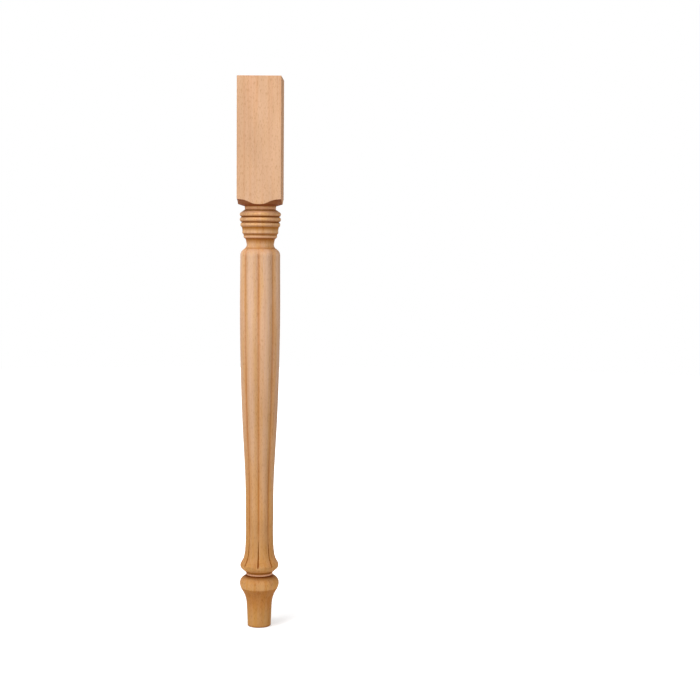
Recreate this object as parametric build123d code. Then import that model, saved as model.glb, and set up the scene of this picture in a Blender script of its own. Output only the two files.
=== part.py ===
from build123d import *

import os
from math import cos, pi, sin, sqrt

# A turned dining table leg in one piece of wood: a square block that the table's
# rails join, a beaded vase, a long shaft carved with eight reeds, and a turned foot.
# Millimetres. The leg stands on its foot: the origin is the centre of the foot's
# bottom, +Z points up to the table top, and X and Y are square to the block's faces.
# Radii are measured from the leg's axis. A slope is the radius that the outline
# gains for each millimetre that it comes down.

# Whole leg and block
LEG_HEIGHT = 737.0
BLOCK_WIDTH = 58.5
BLOCK_LENGTH = 160.5
BLOCK_EDGE_ROUND = 0.8

# Block's foot, turned round so that each face ends in a tongue, and the collar under it
TONGUE_LENGTH = 6.5
TONGUE_FULLNESS = 2.3
TONGUE_LIP = 0.7
COLLAR_RADIUS = 20.9
COLLAR_DROP = 2.6
COLLAR_HEIGHT = 3.0
COLLAR_GROOVE_RADIUS = 20.4
COLLAR_GROOVE_HEIGHT = 1.0

# Three stacked beads of the vase, from the top down
CAP_RADIUS = 27.5
CAP_NOSE_WIDTH = 1.2
CAP_SLOPE_HEIGHT = 4.1
CAP_BEAD_HEIGHT = 5.8
BEAD_GROOVE_RADIUS = 24.4
MIDDLE_BEAD_RADIUS = 27.5
MIDDLE_BEAD_HEIGHT = 7.0
LOWER_BEAD_RADIUS = 26.6
LOWER_BEAD_HEIGHT = 6.6

# Bowl of the vase, its small bead and the neck above the shaft
BOWL_TOP_RADIUS = 24.8
BOWL_FOOT_RADIUS = 24.2
BOWL_HOLLOW = 0.5
BOWL_HEIGHT = 7.6
BOWL_GROOVE_RADIUS = 22.0
BOWL_GROOVE_HEIGHT = 3.0
SMALL_BEAD_RADIUS = 22.4
SMALL_BEAD_HEIGHT = 4.2
NECK_TOP_RADIUS = 21.0
NECK_TOP_SLOPE = -2.2
NECK_COVE_RADIUS = 18.8
NECK_COVE_HEIGHT = 4.2
NECK_WAIST_RADIUS = 18.2
NECK_WAIST_HEIGHT = 4.2
NECK_FOOT_RADIUS = 20.4
NECK_FOOT_SLOPE = 0.9
NECK_HEIGHT = 13.5

# Reeds: how deep the valleys between them are, and the slices that shape each stretch
REED_COUNT = 8
NECK_REED_DEPTH = 0.4
SHAFT_REED_DEPTH = 2.7
ANKLE_REED_DEPTH = 2.1
RIM_REED_DEPTH = 0.6
STATIONS = 8

# Shaft: radius over the reeds' crests, from the shoulder down to the ankle
SHOULDER_SLOPE = 1.6
SHOULDER_RADIUS = 27.4
SHOULDER_HEIGHT = 9.9
BELLY_RADIUS = 27.7
BELLY_BELOW_NECK = 80.0
KNEE_RADIUS = 26.5
KNEE_ABOVE_RIM = 266.0
CALF_RADIUS = 23.75
CALF_ABOVE_RIM = 190.0
SHIN_RADIUS = 20.1
SHIN_ABOVE_RIM = 120.0
ANKLE_RADIUS = 19.05
ANKLE_ABOVE_RIM = 50.0

# Flare at the shaft's foot, its rim, and the turned underside of the rim
RIM_RADIUS = 26.2
RIM_Z = 84.8
FLARE_HOLLOW_LENGTH = 50.8
FLARE_SWELL_WIDTH = 2.3
FLARE_SWELL_HEIGHT = 9.0

RIM_NOSE_WIDTH = 1.8
RIM_NOSE_HEIGHT = 5.5
RIM_ROOT_RADIUS = 17.4
RIM_UNDERSIDE_HEIGHT = 11.4

# Slits: V-cuts that sharpen the valleys over the flare and end in points at the rim.
# Depths are below the reeds' crests, at shares of the way down the flare.
SLIT_TOP_SHARE = 0.2
SLIT_TOP_DEPTH = 1.6
SLIT_MIDDLE_SHARE = 0.5
SLIT_LOW_SHARE = 0.8
SLIT_DEPTH = 2.3
SLIT_FOOT_RADIUS = 26.4
SLIT_FOOT_DROP = 3.6
SLIT_HALF_WIDTH = 2.4
SLIT_REACH = 4.0

# Foot: a thin ring, a bulb with a crease below it, and a tapering toe
RING_RADIUS = 18.1
RING_HEIGHT = 2.3
RING_GROOVE_RADIUS = 17.0
RING_GROOVE_HEIGHT = 0.6
BULB_TOP_SLOPE = 3.3
BULB_RADIUS = 26.5
BULB_Z = 59.4
BULB_FOOT_SLOPE = -0.45
CREASE_RADIUS = 24.2
CREASE_Z = 51.0
HOLLOW_SLOPE = -0.72
TOE_TOP_RADIUS = 17.0
TOE_TOP_Z = 30.0
TOE_RADIUS = 15.65
TOE_EDGE = 0.7

# Heights worked out from the sizes above
half_block = BLOCK_WIDTH / 2
corner_radius = half_block * sqrt(2)
corner_z = LEG_HEIGHT - BLOCK_LENGTH
tongue_z = corner_z - TONGUE_LENGTH
collar_top_z = tongue_z - COLLAR_DROP
collar_foot_z = collar_top_z - COLLAR_HEIGHT
cap_top_z = collar_foot_z - COLLAR_GROOVE_HEIGHT
cap_nose_z = cap_top_z - CAP_SLOPE_HEIGHT
cap_foot_z = cap_nose_z - CAP_BEAD_HEIGHT
middle_foot_z = cap_foot_z - MIDDLE_BEAD_HEIGHT
bowl_top_z = middle_foot_z - LOWER_BEAD_HEIGHT
bowl_foot_z = bowl_top_z - BOWL_HEIGHT
small_bead_z = bowl_foot_z - BOWL_GROOVE_HEIGHT
neck_top_z = small_bead_z - SMALL_BEAD_HEIGHT
neck_foot_z = neck_top_z - NECK_HEIGHT
shoulder_z = neck_foot_z - SHOULDER_HEIGHT
rim_root_z = RIM_Z - RIM_UNDERSIDE_HEIGHT
ring_top_z = rim_root_z - RING_GROOVE_HEIGHT
ring_foot_z = ring_top_z - RING_HEIGHT
bulb_top_z = ring_foot_z - RING_GROOVE_HEIGHT


def down(slope=0.0):
    """The direction of an outline that comes down with this slope."""
    return (slope, -1)


def bead(top, radius, foot):
    """An arc from one point of an outline to the next, over a bead of this radius."""
    return ThreePointArc(top, (radius, (top[1] + foot[1]) / 2), foot)


def turned(edges):
    """The solid that an outline of joined edges (radius, height) makes about Z."""
    top = edges[0] @ 0
    foot = edges[-1] @ 1
    axis = Polyline(foot, (0, foot.Y), (0, top.Y), top)
    return revolve(Plane.XZ * make_face([*edges, *axis.edges()]), Axis.Z)


def block():
    """The square block, turned at its foot so that each face ends in a tongue."""
    blank = Pos(0, 0, collar_foot_z) * Box(
        BLOCK_WIDTH,
        BLOCK_WIDTH,
        LEG_HEIGHT - collar_foot_z,
        align=(Align.CENTER, Align.CENTER, Align.MIN),
    )
    arrises = [*blank.edges().filter_by(Axis.Z), *blank.faces().sort_by(Axis.Z)[-1].edges()]
    blank = fillet(arrises, BLOCK_EDGE_ROUND)
    tip = (half_block, tongue_z)
    corner = (corner_radius, corner_z)
    fullest = half_block + TONGUE_FULLNESS
    outline = [
        Line((corner_radius, LEG_HEIGHT), corner),
        Bezier(corner, (fullest, corner_z), (fullest, tongue_z + TONGUE_LIP), tip),
        Line(tip, (COLLAR_RADIUS, collar_top_z)),
        Line((COLLAR_RADIUS, collar_top_z), (COLLAR_RADIUS, collar_foot_z)),
    ]
    return blank & turned(outline)


def vase():
    """Three stacked beads, the bowl under them, a small bead and the neck's cove."""
    cap_top = (COLLAR_GROOVE_RADIUS, cap_top_z)
    cap_nose = (CAP_RADIUS - CAP_NOSE_WIDTH, cap_nose_z)
    cap_foot = (BEAD_GROOVE_RADIUS, cap_foot_z)
    middle_foot = (BEAD_GROOVE_RADIUS, middle_foot_z)
    bowl_top = (BOWL_TOP_RADIUS, bowl_top_z)
    bowl_foot = (BOWL_FOOT_RADIUS, bowl_foot_z)
    small_bead_top = (BOWL_GROOVE_RADIUS, small_bead_z)
    neck_top = (NECK_TOP_RADIUS, neck_top_z)
    neck_cove = (NECK_COVE_RADIUS, neck_top_z - NECK_COVE_HEIGHT)
    neck_waist = (NECK_WAIST_RADIUS, neck_foot_z + NECK_WAIST_HEIGHT)
    neck_foot = (NECK_FOOT_RADIUS, neck_foot_z)
    neck_slopes = [down(NECK_TOP_SLOPE), down(NECK_FOOT_SLOPE)]
    outline = [
        Line((COLLAR_GROOVE_RADIUS, collar_foot_z), cap_top),
        Line(cap_top, cap_nose),
        bead(cap_nose, CAP_RADIUS, cap_foot),
        bead(cap_foot, MIDDLE_BEAD_RADIUS, middle_foot),
        bead(middle_foot, LOWER_BEAD_RADIUS, bowl_top),
        SagittaArc(bowl_top, bowl_foot, -BOWL_HOLLOW),
        Line(bowl_foot, small_bead_top),
        bead(small_bead_top, SMALL_BEAD_RADIUS, neck_top),
        Spline(neck_top, neck_cove, neck_waist, neck_foot, tangents=neck_slopes),
    ]
    return turned(outline)


def reed_slice(crest_radius, depth, height):
    """A level slice of the shaft: one arc for each reed, meeting in sharp valleys."""
    valley_radius = crest_radius - depth

    def place(radius, reed):
        turn = 2 * pi * reed / REED_COUNT
        return (radius * cos(turn), radius * sin(turn), height)

    arcs = [
        ThreePointArc(
            place(valley_radius, reed),
            place(crest_radius, reed + 0.5),
            place(valley_radius, reed + 1),
        )
        for reed in range(REED_COUNT)
    ]
    return make_face(arcs)


def reeds(crests, top_depth, foot_depth):
    """A stretch of the shaft, lofted through level slices down a curve of its crests."""
    slices = []
    for station in range(STATIONS + 1):
        share = station / STATIONS
        crest = crests @ share
        depth = top_depth + (foot_depth - top_depth) * share
        slices.append(reed_slice(crest.X, depth, crest.Y))
    return loft(slices)


def slits(flare):
    """V-cuts down the flare's valleys, each swept along the curve of its bottom."""
    top = (flare @ SLIT_TOP_SHARE) - (SLIT_TOP_DEPTH, 0)
    middle = (flare @ SLIT_MIDDLE_SHARE) - (SLIT_DEPTH, 0)
    low = (flare @ SLIT_LOW_SHARE) - (SLIT_DEPTH, 0)
    end = (SLIT_FOOT_RADIUS, RIM_Z - SLIT_FOOT_DROP)
    path = Plane.XZ * Spline(top, middle, low, end)
    across = Plane(path @ 0, x_dir=(0, 1, 0), z_dir=path % 0)
    left = (-SLIT_HALF_WIDTH, SLIT_REACH)
    right = (SLIT_HALF_WIDTH, SLIT_REACH)
    wedge = make_face(Polyline((0, 0), right, left, close=True))
    slit = sweep(across * wedge, path=path)
    return [Rot(0, 0, 360 * reed / REED_COUNT) * slit for reed in range(REED_COUNT)]


def shaft():
    """The reeded shaft, carved along its turned crests, with the rim at its foot."""
    shoulder_foot = (SHOULDER_RADIUS, shoulder_z)
    ankle = (ANKLE_RADIUS, RIM_Z + ANKLE_ABOVE_RIM)
    rim = (RIM_RADIUS, RIM_Z)
    shoulder = Spline(
        (NECK_FOOT_RADIUS + NECK_REED_DEPTH, neck_foot_z),
        shoulder_foot,
        tangents=[down(SHOULDER_SLOPE), down()],
    )
    taper = Spline(
        shoulder_foot,
        (BELLY_RADIUS, neck_foot_z - BELLY_BELOW_NECK),
        (KNEE_RADIUS, RIM_Z + KNEE_ABOVE_RIM),
        (CALF_RADIUS, RIM_Z + CALF_ABOVE_RIM),
        (SHIN_RADIUS, RIM_Z + SHIN_ABOVE_RIM),
        ankle,
        tangents=[down(), down()],
    )
    hollow = (ANKLE_RADIUS, ankle[1] - FLARE_HOLLOW_LENGTH)
    swell = (RIM_RADIUS - FLARE_SWELL_WIDTH, RIM_Z + FLARE_SWELL_HEIGHT)
    flare = Bezier(ankle, hollow, swell, rim)
    carved = reeds(shoulder, NECK_REED_DEPTH, SHAFT_REED_DEPTH)
    carved += reeds(taper, SHAFT_REED_DEPTH, ANKLE_REED_DEPTH)
    carved += reeds(flare, ANKLE_REED_DEPTH, RIM_REED_DEPTH)
    rim_slice = reed_slice(RIM_RADIUS, RIM_REED_DEPTH, RIM_Z)
    carved += extrude(rim_slice, RIM_UNDERSIDE_HEIGHT, dir=(0, 0, -1))
    carved -= slits(flare)
    nose_foot = (RIM_RADIUS - RIM_NOSE_WIDTH, RIM_Z - RIM_NOSE_HEIGHT)
    outline = [
        Line((corner_radius, neck_foot_z), (corner_radius, RIM_Z)),
        Line((corner_radius, RIM_Z), rim),
        TangentArc(rim, nose_foot, tangent=down()),
        Line(nose_foot, (RIM_ROOT_RADIUS, rim_root_z)),
    ]
    return carved & turned(outline)


def foot():
    """The thin ring under the rim, the bulb, the hollow below its crease, and the toe."""
    ring_top = (RING_GROOVE_RADIUS, ring_top_z)
    ring_foot = (RING_GROOVE_RADIUS, ring_foot_z)
    bulb_top = (RING_GROOVE_RADIUS, bulb_top_z)
    bulb = (BULB_RADIUS, BULB_Z)
    crease = (CREASE_RADIUS, CREASE_Z)
    toe_top = (TOE_TOP_RADIUS, TOE_TOP_Z)
    toe_foot = (TOE_RADIUS, TOE_EDGE)
    toe_slope = (TOE_RADIUS - TOE_TOP_RADIUS) / (TOE_TOP_Z - TOE_EDGE)
    outline = [
        Line((RING_GROOVE_RADIUS, rim_root_z), ring_top),
        bead(ring_top, RING_RADIUS, ring_foot),
        Line(ring_foot, bulb_top),
        Spline(bulb_top, bulb, crease, tangents=[down(BULB_TOP_SLOPE), down(BULB_FOOT_SLOPE)]),
        Spline(crease, toe_top, tangents=[down(HOLLOW_SLOPE), down(toe_slope)]),
        Line(toe_top, toe_foot),
        Line(toe_foot, (TOE_RADIUS - TOE_EDGE, 0)),
    ]
    return turned(outline)


turned_leg = block() + vase() + shaft() + foot()

os.makedirs("parts", exist_ok=True)
export_step(turned_leg, "parts/turned_leg.step")
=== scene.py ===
import math
from collections import namedtuple

import bmesh
import bpy
from bpy.props import FloatProperty, FloatVectorProperty, IntProperty, PointerProperty
from bpy.types import Operator, Panel, PropertyGroup
from mathutils import Matrix, Vector


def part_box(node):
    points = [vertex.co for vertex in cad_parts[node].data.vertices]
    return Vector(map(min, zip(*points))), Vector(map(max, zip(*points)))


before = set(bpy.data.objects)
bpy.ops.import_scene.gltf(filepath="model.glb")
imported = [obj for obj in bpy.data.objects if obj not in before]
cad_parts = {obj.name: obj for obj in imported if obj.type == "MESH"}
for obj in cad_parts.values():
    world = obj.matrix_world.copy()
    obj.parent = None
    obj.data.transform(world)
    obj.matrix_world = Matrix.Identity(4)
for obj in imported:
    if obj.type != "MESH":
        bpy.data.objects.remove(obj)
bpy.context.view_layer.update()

bl_info = {
    "name": "Turned Table Leg",
    "version": (1, 0, 0),
    "blender": (4, 5, 0),
    "location": "View3D > Sidebar > Table Leg",
    "description": "Finishes a turned and reeded beech table leg and sets up a plain studio for it",
    "category": "Object",
}

# The leg stands on its foot at the origin, and its grain runs up Z. All sizes are in metres,
# and all heights are above the leg's foot.
LEG_NODE = "turned_leg"
LEG_FOOT, LEG_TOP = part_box(LEG_NODE)
LEG_HEIGHT = LEG_TOP.z - LEG_FOOT.z

# The foot's colour turns into the block's between these shares of the leg's height
COLOUR_CHANGE = (-0.1, 0.75)

# The turned vase between the block and the shaft, and how softly its colour ends
VASE = (0.5100, 0.5674)
VASE_FADE = 0.004
# The turned foot of the block, where its corners slope in
BLOCK_FOOT = (0.5660, 0.5775)
BLOCK_FOOT_FADE = 0.001

# The reeded shaft. The wave round it is 1 in the valleys and -1 on the crests
REEDS = 8
SHAFT = (0.12, 0.5116)
SHAFT_FADE = 0.012
# Painted shade along the valleys: the wave values where it starts and is full
VALLEY_SHADE_WAVE = (0.7, 1.0)
# Painted highlight on the crests: the wave values where it starts and is full, and its strength
CREST_HIGHLIGHT_WAVE = (0.3, -1.0)
CREST_HIGHLIGHT_STRENGTH = 0.3
# The painted highlight along the crests grows in between these heights
CREST_HIGHLIGHT_HEIGHTS = (0.06, 0.38)

# The toe's warm wood starts at the bulb's crease and fades out above the floor
CREASE = 0.0528
TOE = (0.012, 0.042)
# The bulb and the rim get painted light towards their lower edges: the edge, the fully pale height, the
# start
LIT_LIPS = ((CREASE, 0.0555, 0.0610), (0.0765, 0.0800, 0.0850))

# Faces that look down get painted shade above the foot only. The shade comes in between these heights
UNDERSIDE_SHADE_START = (0.10, 0.14)
# How squarely a face looks left or right, and how far it slopes down, where its painted shade starts and is
# full
SIDE_SHADE_FACING = (0.9, 0.99)
DOWNWARD_SHADE_FACING = (0.05, 0.35)

# Stretches with painted shade that darkens towards what lies above them, as top, foot and strength
SHADED = {
    "bowl": (0.5399, 0.5330, 1.0),
    "neck": (0.5251, 0.5165, 1.0),
    "shoulder of the reeds": (0.5128, 0.5098, 0.7),
    "cap": (0.5626, 0.5600, 0.9),
    "small bead": (0.5308, 0.5278, 0.8),
    "root of the rim": (0.0765, 0.0722, 1.0),
    "bulb": (0.0705, 0.0673, 1.0),
}

# Thin lines of painted light, as the middle of the height, the reach up and down, and strength
LIT_LINES = {
    "ring under the rim": (0.07165, 0.00115, 1.0),
    "collar": (0.5646, 0.0011, 0.5),
    "upper slope of the cap": (0.5597, 0.0010, 0.5),
    "lower half of the small bead": (0.5268, 0.0010, 0.6),
}

# Rays sent out from each point, and how fast its painted shade grows with the share of them that hit wood
SKY_SAMPLES = 16
HOLLOW_SHADE_GAIN = 2.0

# A layer of the grain: its noise, the noise values where it starts and is full, and its strength there
Layer = namedtuple("Layer", "detail offset low high strength", defaults=(1.0,))
STREAKS = Layer(detail=4.0, offset=5.5, low=0.44, high=0.74, strength=0.8)
CLOUDS = Layer(detail=2.0, offset=7.0, low=0.3, high=0.7)
GOLDEN = Layer(detail=2.0, offset=5.0, low=0.40, high=0.62)
FLECKS = Layer(detail=2.0, offset=3.0, low=0.50, high=0.70, strength=0.55)
PORES = Layer(detail=3.0, offset=5.0, low=0.3, high=0.7)
GRAIN_ROUGHNESS = 0.55

# Sizes across and along the leg, the darkest and palest cloud, and what the block lacks of the gold
CLOUD_SIZE = (0.03, 0.12)
CLOUD_TINTS = ((0.93, 0.92, 0.90), (1.06, 1.07, 1.08))
GOLDEN_SIZE = (0.006, 0.08)
GOLDEN_LOSS_ON_BLOCK = 0.75

# The pores: how many fit in a fleck's width, the bump's strength, and what is added to the
# roughness at a pore's bottom and at its rim
PORES_PER_FLECK = 3
PORE_STRENGTH = 0.6
PORE_ROUGHNESS = (-0.06, 0.1)
# How strongly the sanded surface mirrors light
GLOSS = 0.1

# Each lamp's side angle, positive to the right of the leg's front, its height angle and power in watts
LAMPS = {
    "left_lamp": (-50, 8, 10.7),
    "right_lamp": (40, 8, 8.25),
    "high_left_lamp": (-25, 52, 14.2),
    "top_left_lamp": (-40, 75, 28.7),
    "top_right_lamp": (40, 75, 6.0),
}


def colour_property(name, description, default):
    """A colour that a user can pick, as linear red, green and blue."""
    return FloatVectorProperty(
        name=name, description=description, default=default, subtype="COLOR", min=0.0, max=1.0
    )


class BeechFinish(PropertyGroup):
    """Colours and grain of the sanded beech."""

    top_colour: colour_property(
        "Top colour", "Pale, pinkish wood at the block's end of the leg", (0.79, 0.483, 0.297)
    )
    foot_colour: colour_property(
        "Foot colour", "Warmer, golden wood at the foot's end of the leg", (0.72, 0.365, 0.123)
    )
    streak_tint: colour_property(
        "Streak tint", "Reddish streaks that run lengthwise", (0.92, 0.80, 0.73)
    )
    fleck_tint: colour_property(
        "Fleck tint", "Short, fine flecks of the wood's rays", (0.74, 0.62, 0.48)
    )
    # Painted highlight along the middle of each reed
    crest_highlight_colour: colour_property(
        "Crest colour", "Paler, pinkish wood along the middle of each reed", (0.96, 0.68, 0.53)
    )
    # Painted shade along the valleys between the reeds
    valley_shade_tint: colour_property(
        "Valley tint", "What is left of the colour along the valleys between the reeds", (0.95, 0.85, 0.73)
    )
    # Golden wood of the vase, made paler with painted light where the block's overhang shades it
    vase_colour_and_light: colour_property(
        "Vase colour", "Golden wood of the beads, the bowl and the neck", (0.90, 0.535, 0.290)
    )
    toe_tint: colour_property(
        "Toe tint", "What is left of the foot's colour right below the bulb's crease", (0.97, 0.80, 0.62)
    )
    # Painted light towards the lower edges of the bulb and the rim
    lip_light_colour: colour_property(
        "Lip colour", "Pale wood towards the lower edges of the bulb and the rim", (0.95, 0.50, 0.19)
    )
    golden_tint: colour_property(
        "Golden tint", "Streaks where the wood is more golden than pink", (0.99, 0.94, 0.76)
    )
    # Painted shade on the block's left and right faces
    side_shade_tint: colour_property(
        "Side tint", "What is left of the colour on the block's left and right faces", (0.87, 0.77, 0.64)
    )
    # End grain darkened further with painted shade, darkest where a face looks straight up
    end_grain_and_shade_tint: colour_property(
        "End grain tint", "What is left of the colour where a face looks straight up", (0.60, 0.53, 0.46)
    )
    # Painted shade where a face looks down
    underside_shade_tint: colour_property(
        "Underside tint", "What is left of the colour where a face looks straight down", (0.62, 0.41, 0.25)
    )
    # Painted shade at the bottom of a groove
    hollow_shade_tint: colour_property(
        "Hollow tint", "What is left of the colour at the bottom of a groove", (0.60, 0.38, 0.08)
    )
    # Painted light on the ring under the rim and on the other thin lines
    lit_line_colour: colour_property(
        "Ring colour", "Pale wood of the ring under the rim and of the other thin lines", (1.0, 0.56, 0.32)
    )
    shade_tint: colour_property(
        "Shade tint", "What is left of the colour where a stretch is darkest", (0.66, 0.46, 0.15)
    )
    # Painted shade on the block's undersides
    block_foot_shade_tint: colour_property(
        "Block's foot tint", "What is left of the colour of the block's undersides", (0.68, 0.50, 0.38)
    )
    # How far the painted shade spreads out of a groove or valley
    hollow_shade_reach: FloatProperty(
        name="Hollow reach",
        description="How far out of a groove or valley its brown spreads",
        default=0.003,
        min=0.0005,
        unit="LENGTH",
    )
    streak_width: FloatProperty(
        name="Streak width",
        description="Distance from one lengthwise streak to the next",
        default=0.004,
        min=0.001,
        unit="LENGTH",
    )
    streak_length: FloatProperty(
        name="Streak length",
        description="Length over which a streak fades out",
        default=0.25,
        min=0.01,
        unit="LENGTH",
    )
    fleck_width: FloatProperty(
        name="Fleck width",
        description="Distance from one fleck to the next, across the grain",
        default=0.0014,
        min=0.0002,
        unit="LENGTH",
    )
    fleck_length: FloatProperty(
        name="Fleck length",
        description="Distance from one fleck to the next, along the grain",
        default=0.0045,
        min=0.001,
        unit="LENGTH",
    )
    roughness: FloatProperty(
        name="Roughness",
        description="How matt the sanded surface is",
        default=0.65,
        min=0.0,
        max=1.0,
        subtype="FACTOR",
    )
    pore_depth: FloatProperty(
        name="Pore depth",
        description="Depth of the fine lengthwise pores",
        default=0.00004,
        min=0.0,
        unit="LENGTH",
    )


class StudioSettings(PropertyGroup):
    """Floor, lamps and camera of the plain studio."""

    floor_radius: FloatProperty(
        name="Floor radius",
        description="Radius of the round floor",
        default=4.0,
        min=1.0,
        unit="LENGTH",
    )
    floor_sides: IntProperty(
        name="Floor sides",
        description="Number of straight sides on the floor's edge",
        default=96,
        min=12,
    )
    floor_colour: colour_property("Floor colour", "Pale floor under the leg", (0.8, 0.8, 0.8))
    floor_bounce: FloatProperty(
        name="Floor bounce",
        description="Share of the floor's brightness that lights the leg from below",
        default=0.45,
        min=0.0,
        max=1.0,
        subtype="FACTOR",
    )
    shadow_core: FloatProperty(
        name="Shadow core",
        description="Distance from the leg within which the floor glows least",
        default=0.1,
        min=0.0,
        unit="LENGTH",
    )
    shadow_glow: FloatProperty(
        name="Shadow glow",
        description="How bright the floor glows within the shadow's core",
        default=0.45,
        min=0.0,
        max=1.0,
        subtype="FACTOR",
    )
    shadow_reach: FloatProperty(
        name="Shadow reach",
        description="Distance from the leg at which the floor turns plain white",
        default=0.5,
        min=0.2,
        unit="LENGTH",
    )
    ambient: FloatProperty(
        name="Ambient light",
        description="Light that reaches the leg from all round",
        default=0.388,
        min=0.0,
    )
    lamp_aim: FloatProperty(
        name="Lamp aim",
        description="Height of the point on the leg's axis that the lamps face",
        default=0.42,
        min=0.0,
        unit="LENGTH",
    )
    lamp_size: FloatProperty(
        name="Lamp size",
        description="Width of each square lamp",
        default=0.7,
        min=0.05,
        unit="LENGTH",
    )
    lamp_distance: FloatProperty(
        name="Lamp distance",
        description="Distance of each lamp from the point that it faces",
        default=2.3,
        min=0.5,
        unit="LENGTH",
    )
    lens: FloatProperty(
        name="Lens",
        description="Focal length of the camera",
        default=75.38,
        min=1.0,
        unit="CAMERA",
    )


class Nodes:
    """Adds shader nodes to one tree and links them by socket name."""

    def __init__(self, tree):
        self.tree = tree
        tree.nodes.clear()

    def add(self, kind, **settings):
        """A new node of one kind with its settings."""
        node = self.tree.nodes.new(kind)
        for name, value in settings.items():
            setattr(node, name, value)
        return node

    def link(self, source, target):
        """Joins an output to an input."""
        self.tree.links.new(source, target)

    def math(self, operation, first, second=None, third=None, clamp=False):
        """The result of one operation on up to three sockets or numbers."""
        node = self.add("ShaderNodeMath", operation=operation, use_clamp=clamp)
        for socket, value in zip(node.inputs, (first, second, third)):
            if value is None:
                continue
            if isinstance(value, (int, float)):
                socket.default_value = value
            else:
                self.link(value, socket)
        return node.outputs[0]

    def ramp(self, value, low, high, start=0.0, end=1.0):
        """A smooth change from start to end while the value goes from low to high."""
        node = self.add("ShaderNodeMapRange", interpolation_type="SMOOTHSTEP")
        self.link(value, node.inputs["Value"])
        node.inputs["From Min"].default_value = low
        node.inputs["From Max"].default_value = high
        node.inputs["To Min"].default_value = start
        node.inputs["To Max"].default_value = end
        return node.outputs["Result"]

    def mix(self, factor, first, second, blend_type="MIX"):
        """The first colour where the factor is 0 and its blend with the second where it is 1."""
        node = self.add("ShaderNodeMix", data_type="RGBA", blend_type=blend_type)
        for name, value in (("Factor_Float", factor), ("A_Color", first), ("B_Color", second)):
            socket = next(entry for entry in node.inputs if entry.identifier == name)
            if isinstance(value, (int, float)):
                socket.default_value = value
            elif isinstance(value, bpy.types.NodeSocket):
                self.link(value, socket)
            else:
                socket.default_value = (*value, 1.0)
        return next(entry for entry in node.outputs if entry.identifier == "Result_Color")

    def tint(self, factor, colour, tint):
        """The colour multiplied by a tint, as far as the factor says."""
        return self.mix(factor, colour, tint, "MULTIPLY")

    def between(self, height, foot, top, fade):
        """1 from foot to top, fading to 0 beyond both."""
        above_foot = self.ramp(height, foot - fade, foot + fade)
        below_top = self.ramp(height, top - fade, top + fade, 1.0, 0.0)
        return self.math("MULTIPLY", above_foot, below_top)

    def noise(self, across, along, layer):
        """Noise stretched along the grain, with its size across and along the leg."""
        place = self.add("ShaderNodeTexCoord")
        mapping = self.add("ShaderNodeMapping")
        mapping.inputs["Scale"].default_value = (1 / across, 1 / across, 1 / along)
        mapping.inputs["Location"].default_value = (layer.offset, layer.offset, layer.offset)
        self.link(place.outputs["Object"], mapping.inputs["Vector"])
        noise = self.add("ShaderNodeTexNoise", noise_dimensions="3D")
        noise.inputs["Scale"].default_value = 1.0
        noise.inputs["Detail"].default_value = layer.detail
        noise.inputs["Roughness"].default_value = GRAIN_ROUGHNESS
        self.link(mapping.outputs["Vector"], noise.inputs["Vector"])
        return noise.outputs["Fac"]

    def grain(self, across, along, layer):
        """How much of one layer of the grain shows."""
        return self.ramp(self.noise(across, along, layer), layer.low, layer.high, 0.0, layer.strength)

    def split(self, name):
        """The X, Y and Z sockets of the piece's own coordinates or of its normals."""
        place = self.add("ShaderNodeTexCoord")
        parts = self.add("ShaderNodeSeparateXYZ")
        self.link(place.outputs[name], parts.inputs["Vector"])
        return parts.outputs


def plain_wood(nodes, height, finish):
    """Golden at the foot and pinkish at the block, with a golden vase and pale lips that carry painted
    light, and a warm toe.
    """
    low, high = (share * LEG_HEIGHT for share in COLOUR_CHANGE)
    colour = nodes.mix(nodes.ramp(height, low, high), finish.foot_colour, finish.top_colour)
    # The vase's golden wood, made paler with painted light
    colour = nodes.mix(nodes.between(height, *VASE, VASE_FADE), colour, finish.vase_colour_and_light)
    toe = nodes.math("MULTIPLY", nodes.ramp(height, *TOE), nodes.math("LESS_THAN", height, CREASE))
    colour = nodes.tint(toe, colour, finish.toe_tint)
    # Painted light on the lower edges of the bulb and the rim
    for edge, full, start in LIT_LIPS:
        above_edge = nodes.math("GREATER_THAN", height, edge)
        lip_light = nodes.math("MULTIPLY", nodes.ramp(height, full, start, 1.0, 0.0), above_edge)
        colour = nodes.mix(lip_light, colour, finish.lip_light_colour)
    return colour


def grained(nodes, height, colour, finish):
    """Adds the lengthwise streaks, the cloudy and golden changes, and the short ray flecks."""
    streaks = nodes.grain(finish.streak_width, finish.streak_length, STREAKS)
    colour = nodes.tint(streaks, colour, finish.streak_tint)
    clouds = nodes.grain(*CLOUD_SIZE, CLOUDS)
    colour = nodes.tint(1.0, colour, nodes.mix(clouds, *CLOUD_TINTS))
    share = nodes.math("MULTIPLY_ADD", nodes.ramp(height, *BLOCK_FOOT), -GOLDEN_LOSS_ON_BLOCK, 1.0)
    golden = nodes.math("MULTIPLY", nodes.grain(*GOLDEN_SIZE, GOLDEN), share)
    colour = nodes.tint(golden, colour, finish.golden_tint)
    flecks = nodes.grain(finish.fleck_width, finish.fleck_length, FLECKS)
    return nodes.tint(flecks, colour, finish.fleck_tint)


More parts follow.
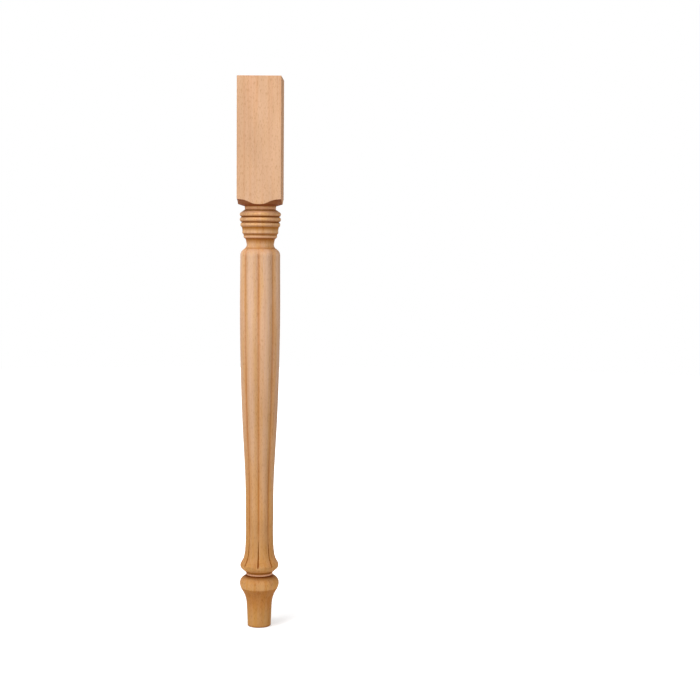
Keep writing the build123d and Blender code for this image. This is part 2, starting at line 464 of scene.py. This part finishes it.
def reeded(nodes, place, height, colour, finish):
    """Paints a highlight along the reeds' crests and shade along their valleys, on the shaft."""
    turn = nodes.math("ARCTAN2", place["Y"], place["X"])
    wave = nodes.math("COSINE", nodes.math("MULTIPLY", turn, float(REEDS)))
    on_shaft = nodes.between(height, *SHAFT, SHAFT_FADE)
    # Painted highlight along the crests
    crest_highlight = nodes.ramp(wave, *CREST_HIGHLIGHT_WAVE, 0.0, CREST_HIGHLIGHT_STRENGTH)
    crest_highlight = nodes.math("MULTIPLY", crest_highlight, nodes.ramp(height, *CREST_HIGHLIGHT_HEIGHTS))
    colour = nodes.mix(nodes.math("MULTIPLY", crest_highlight, on_shaft), colour, finish.crest_highlight_colour)
    # Painted shade along the valleys
    valley = nodes.ramp(wave, *VALLEY_SHADE_WAVE)
    return nodes.tint(nodes.math("MULTIPLY", valley, on_shaft), colour, finish.valley_shade_tint)


def shaded_by_slope(nodes, height, colour, finish):
    """Paints shade on the block's sides and on the undersides, and darkens faces that look up as end grain
    with painted shade.
    """
    facing = nodes.split("Normal")
    # Painted shade on the block's left and right faces
    side = nodes.ramp(nodes.math("ABSOLUTE", facing["X"]), *SIDE_SHADE_FACING)
    side = nodes.math("MULTIPLY", side, nodes.ramp(height, *BLOCK_FOOT))
    colour = nodes.tint(side, colour, finish.side_shade_tint)
    # End grain with painted shade on faces that look up
    colour = nodes.tint(nodes.math("MAXIMUM", facing["Z"], 0.0), colour, finish.end_grain_and_shade_tint)
    # Painted shade on faces that look down
    downward = nodes.math("MULTIPLY", facing["Z"], -1.0, clamp=True)
    underside_shade = nodes.math("MULTIPLY", downward, nodes.ramp(height, *UNDERSIDE_SHADE_START))
    colour = nodes.tint(underside_shade, colour, finish.underside_shade_tint)
    # Painted shade where the block's foot looks down
    on_block_foot = nodes.between(height, *BLOCK_FOOT, BLOCK_FOOT_FADE)
    block_foot_shade = nodes.math("MULTIPLY", nodes.ramp(downward, *DOWNWARD_SHADE_FACING), on_block_foot)
    return nodes.tint(block_foot_shade, colour, finish.block_foot_shade_tint)


def shaded_in_hollows(nodes, height, colour, finish):
    """Paints shade in the grooves and right under a bead, and paints light on the thin pale lines."""
    # Painted shade that darkens each stretch towards what lies above it
    for top, foot, strength in SHADED.values():
        shade = nodes.ramp(height, foot, top, 0.0, strength)
        shade = nodes.math("MULTIPLY", shade, nodes.math("LESS_THAN", height, top))
        colour = nodes.tint(shade, colour, finish.shade_tint)
    # Painted shade in grooves and valleys, from how much open sky each point sees
    open_sky = nodes.add("ShaderNodeAmbientOcclusion", samples=SKY_SAMPLES)
    open_sky.inputs["Distance"].default_value = finish.hollow_shade_reach
    hollow_shade = nodes.math("MULTIPLY_ADD", open_sky.outputs["AO"], -HOLLOW_SHADE_GAIN, HOLLOW_SHADE_GAIN, clamp=True)
    colour = nodes.tint(hollow_shade, colour, finish.hollow_shade_tint)
    # Painted light on the thin lines
    for middle, reach, strength in LIT_LINES.values():
        lit_line = nodes.math("MULTIPLY", nodes.math("COMPARE", height, middle, reach), strength)
        colour = nodes.mix(lit_line, colour, finish.lit_line_colour)
    return colour


def beech(finish):
    """Sanded beech, with its colour by height and grain, and with painted light and shade on the reeds,
    slopes and hollows.
    """
    material = bpy.data.materials.new("sanded_beech")
    material.use_nodes = True
    nodes = Nodes(material.node_tree)
    place = nodes.split("Object")
    height = nodes.math("SUBTRACT", place["Z"], LEG_FOOT.z)
    colour = plain_wood(nodes, height, finish)
    colour = grained(nodes, height, colour, finish)
    colour = reeded(nodes, place, height, colour, finish)
    colour = shaded_by_slope(nodes, height, colour, finish)
    colour = shaded_in_hollows(nodes, height, colour, finish)

    pores = nodes.noise(finish.fleck_width / PORES_PER_FLECK, finish.fleck_length, PORES)
    bump = nodes.add("ShaderNodeBump")
    bump.inputs["Strength"].default_value = PORE_STRENGTH
    bump.inputs["Distance"].default_value = finish.pore_depth
    nodes.link(pores, bump.inputs["Height"])

    shader = nodes.add("ShaderNodeBsdfPrincipled")
    nodes.link(colour, shader.inputs["Base Color"])
    smoother, rougher = (finish.roughness + change for change in PORE_ROUGHNESS)
    nodes.link(nodes.ramp(pores, PORES.low, PORES.high, smoother, rougher), shader.inputs["Roughness"])
    nodes.link(bump.outputs["Normal"], shader.inputs["Normal"])
    shader.inputs["Specular IOR Level"].default_value = GLOSS
    output = nodes.add("ShaderNodeOutputMaterial")
    nodes.link(shader.outputs["BSDF"], output.inputs["Surface"])
    return material


def seen_directly(nodes):
    """1 where a ray comes from the camera, a mirror or a glass, and 0 where it gathers soft light."""
    path = nodes.add("ShaderNodeLightPath")
    direct = nodes.math("MAXIMUM", path.outputs["Is Camera Ray"], path.outputs["Is Glossy Ray"])
    return nodes.math("MAXIMUM", direct, path.outputs["Is Transmission Ray"])


def floor_material(studio):
    """White to the eye, a little darker in the leg's shadow, and less bright to the leg itself."""
    material = bpy.data.materials.new("studio_floor")
    material.use_nodes = True
    nodes = Nodes(material.node_tree)
    direct = seen_directly(nodes)
    paint = nodes.add("ShaderNodeBsdfDiffuse")
    bounce = tuple(channel * studio.floor_bounce for channel in studio.floor_colour)
    nodes.link(nodes.mix(direct, bounce, studio.floor_colour), paint.inputs["Color"])
    place = nodes.add("ShaderNodeTexCoord")
    reach = nodes.add("ShaderNodeVectorMath", operation="LENGTH")
    nodes.link(place.outputs["Object"], reach.inputs[0])
    distance = reach.outputs["Value"]
    white = nodes.ramp(distance, studio.shadow_core, studio.shadow_reach, studio.shadow_glow, 1.0)
    glow = nodes.add("ShaderNodeEmission")
    glow.inputs["Color"].default_value = (1.0, 1.0, 1.0, 1.0)
    nodes.link(nodes.math("MULTIPLY", direct, white), glow.inputs["Strength"])
    both = nodes.add("ShaderNodeAddShader")
    nodes.link(paint.outputs["BSDF"], both.inputs[0])
    nodes.link(glow.outputs["Emission"], both.inputs[1])
    output = nodes.add("ShaderNodeOutputMaterial")
    nodes.link(both.outputs["Shader"], output.inputs["Surface"])
    return material


def add_lamp(name, side_angle, height_angle, power, studio):
    """A square soft lamp on a ball round the point that the lamps face."""
    lamp = bpy.data.lights.new(name, "AREA")
    lamp.shape = "SQUARE"
    lamp.size = studio.lamp_size
    lamp.energy = power
    turn = Matrix.Rotation(math.radians(side_angle), 4, "Z")
    turn @= Matrix.Rotation(math.radians(90 - height_angle), 4, "X")
    aim = Matrix.Translation((0.0, 0.0, studio.lamp_aim))
    lamp_object = bpy.data.objects.new(name, lamp)
    lamp_object.matrix_world = aim @ turn @ Matrix.Translation((0.0, 0.0, studio.lamp_distance))
    bpy.context.scene.collection.objects.link(lamp_object)


class LEG_OT_finish_wood(Operator):
    """Give the leg its sanded beech"""

    bl_idname = "table_leg.finish_wood"
    bl_label = "Finish the Wood"
    bl_options = {"REGISTER", "UNDO"}

    def execute(self, context):
        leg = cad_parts[LEG_NODE]
        wood = beech(context.scene.beech_finish)
        for slot in leg.material_slots:
            slot.material = wood
        return {"FINISHED"}


class LEG_OT_set_stage(Operator):
    """Lay the pale floor and set the lamps and the white background"""

    bl_idname = "table_leg.set_stage"
    bl_label = "Set the Stage"
    bl_options = {"REGISTER", "UNDO"}

    def execute(self, context):
        studio = context.scene.studio_settings
        mesh = bpy.data.meshes.new("floor")
        disc = bmesh.new()
        bmesh.ops.create_circle(disc, cap_ends=True, segments=studio.floor_sides, radius=studio.floor_radius)
        disc.to_mesh(mesh)
        disc.free()
        floor = bpy.data.objects.new("floor", mesh)
        floor.data.materials.append(floor_material(studio))
        context.scene.collection.objects.link(floor)

        for name, (side_angle, height_angle, power) in LAMPS.items():
            add_lamp(name, side_angle, height_angle, power, studio)

        world = bpy.data.worlds.new("studio_world")
        world.use_nodes = True
        context.scene.world = world
        nodes = Nodes(world.node_tree)
        background = nodes.add("ShaderNodeBackground")
        background.inputs["Color"].default_value = (1.0, 1.0, 1.0, 1.0)
        strength = nodes.ramp(seen_directly(nodes), 0.0, 1.0, studio.ambient, 1.0)
        nodes.link(strength, background.inputs["Strength"])
        output = nodes.add("ShaderNodeOutputWorld")
        nodes.link(background.outputs["Background"], output.inputs["Surface"])
        context.scene.view_settings.view_transform = "Standard"
        return {"FINISHED"}


class LEG_OT_place_camera(Operator):
    """Place the camera at the height of the neck, a little to the right of the leg's front"""

    bl_idname = "table_leg.place_camera"
    bl_label = "Place the Camera"
    bl_options = {"REGISTER", "UNDO"}

    # The sensor in millimetres, the camera's place in metres
    sensor_width = 36.0
    distance = 1.9656
    height = 0.5255
    side_angle = math.radians(4.257)
    heading = math.radians(0.7335)
    pitch = math.radians(-4.343)
    roll = math.radians(0.435)

    def execute(self, context):
        camera = bpy.data.cameras.new("camera")
        camera.sensor_width = self.sensor_width
        camera.lens = context.scene.studio_settings.lens
        camera_object = bpy.data.objects.new("camera", camera)
        turn = Matrix.Rotation(self.heading, 4, "Z")
        turn @= Matrix.Rotation(math.pi / 2 + self.pitch, 4, "X")
        turn @= Matrix.Rotation(self.roll, 4, "Z")
        place = Vector(
            (
                self.distance * math.sin(self.side_angle),
                -self.distance * math.cos(self.side_angle),
                self.height,
            )
        )
        camera_object.matrix_world = Matrix.Translation(place) @ turn
        context.scene.collection.objects.link(camera_object)
        context.scene.camera = camera_object
        return {"FINISHED"}


class LEG_PT_panel(Panel):
    """Lists the steps that finish the leg and set up its studio"""

    bl_idname = "LEG_PT_panel"
    bl_label = "Turned Table Leg"
    bl_space_type = "VIEW_3D"
    bl_region_type = "UI"
    bl_category = "Table Leg"

    def draw(self, context):
        layout = self.layout
        for settings in (context.scene.beech_finish, context.scene.studio_settings):
            box = layout.box()
            for name in settings.__annotations__:
                box.prop(settings, name)
        for step in (LEG_OT_finish_wood, LEG_OT_set_stage, LEG_OT_place_camera):
            layout.operator(step.bl_idname)


CLASSES = (
    BeechFinish,
    StudioSettings,
    LEG_OT_finish_wood,
    LEG_OT_set_stage,
    LEG_OT_place_camera,
    LEG_PT_panel,
)


def register():
    for each in CLASSES:
        bpy.utils.register_class(each)
    bpy.types.Scene.beech_finish = PointerProperty(type=BeechFinish)
    bpy.types.Scene.studio_settings = PointerProperty(type=StudioSettings)


def unregister():
    del bpy.types.Scene.studio_settings
    del bpy.types.Scene.beech_finish
    for each in reversed(CLASSES):
        bpy.utils.unregister_class(each)


def main():
    register()
    bpy.ops.table_leg.finish_wood()
    bpy.ops.table_leg.set_stage()
    bpy.ops.table_leg.place_camera()


if __name__ == "__main__":
    main()
